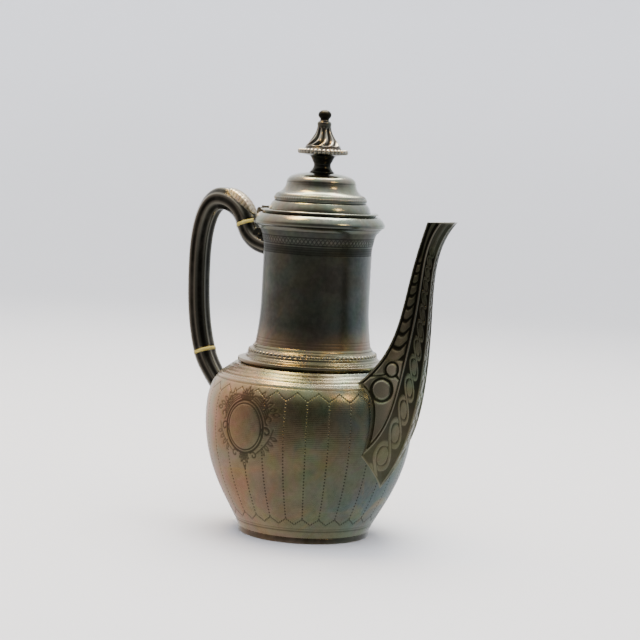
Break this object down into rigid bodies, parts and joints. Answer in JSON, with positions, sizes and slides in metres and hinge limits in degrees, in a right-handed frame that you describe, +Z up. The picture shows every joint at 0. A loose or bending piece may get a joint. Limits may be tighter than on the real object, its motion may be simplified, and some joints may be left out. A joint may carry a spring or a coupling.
{
  "type": "coffee pot",
  "caption": "Ovoid metal coffee pot with a tall neck, hinged stepped lid, finial, long six-sided spout and an insulated C-shaped handle.",
  "frame": {"origin": "centre of the flat base, on the surface that the pot stands on", "axes": "+Z up along the body's axis, +X towards the spout, -X towards the handle and the lid's hinge"},
  "size_m": [0.1878, 0.1178, 0.2404],
  "materials": {
    "silver": "tarnished polished silver",
    "dark_silver": "dark tarnished silver",
    "bone": "yellowed bone, satin"
  },
  "bodies": {
    "pot": {"body_shell": "silver", "base_plate": "silver", "foot_ring": "silver", "shoulder_collar": "silver", "neck_tube": "silver", "mouth_rim": "silver", "spout": "dark_silver", "upper_socket": "dark_silver", "upper_insulator": "bone", "handle_grip": "dark_silver", "lower_insulator": "bone", "lower_socket": "dark_silver", "insulator_pins": "silver", "thumb_leaf": "silver", "hinge_body_leaf": "dark_silver", "hinge_pin": "silver"},
    "lid": {"lid_flange": "silver", "lid_dome": "silver", "hinge_lid_leaf": "dark_silver", "finial_spool": "silver", "finial_disc": "silver", "finial_bud": "silver", "finial_stud": "silver", "finial_washer": "silver", "finial_nut": "silver"}
  },
  "joints": [
    {"name": "lid_hinge", "type": "hinge", "parent": "pot", "child": "lid", "pos_m": [-0.0398, 0, 0.1819], "axis": [0, -1, 0], "range_deg": [0, 105]}
  ]
}
